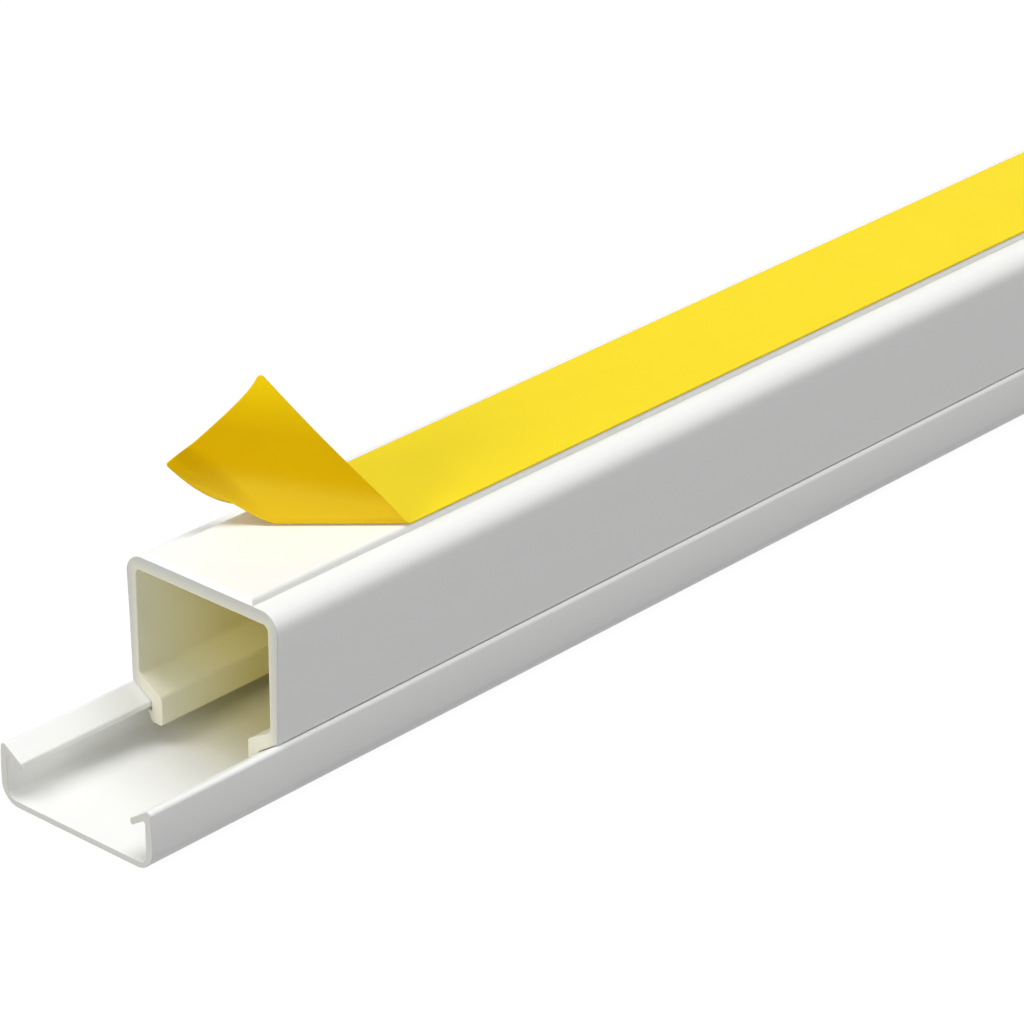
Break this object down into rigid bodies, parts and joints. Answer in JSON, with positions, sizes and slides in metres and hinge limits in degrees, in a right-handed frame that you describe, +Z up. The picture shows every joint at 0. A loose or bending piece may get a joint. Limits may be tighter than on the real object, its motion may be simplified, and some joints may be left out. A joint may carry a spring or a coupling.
{
  "type": "cord cover raceway",
  "caption": "Square two-part self-adhesive cable trunking lying on its slid-out clip-on lid, with the yellow release liner on its back peeled up at one end.",
  "frame": {"origin": "centre of the part's footprint, on the floor under the lid", "axes": "+Y runs along the stock from the opened end to the far end, +X across the section, +Z up from the lid to the adhesive back"},
  "size_m": [0.016, 0.4132, 0.0276],
  "materials": {
    "white_pvc": "smooth extruded white PVC with a soft sheen",
    "foam_tape": "white double-sided foam tape",
    "release_paper": "yellow siliconised release paper"
  },
  "bodies": {
    "base": {"base_channel": "white_pvc", "adhesive_tape": "foam_tape", "release_liner": "release_paper"},
    "lid": {"lid": "white_pvc"}
  },
  "joints": [
    {"name": "lid_slide", "type": "slide", "parent": "base", "child": "lid", "axis": [0, 1, 0], "range_m": [-0.39, 0.0132]}
  ]
}
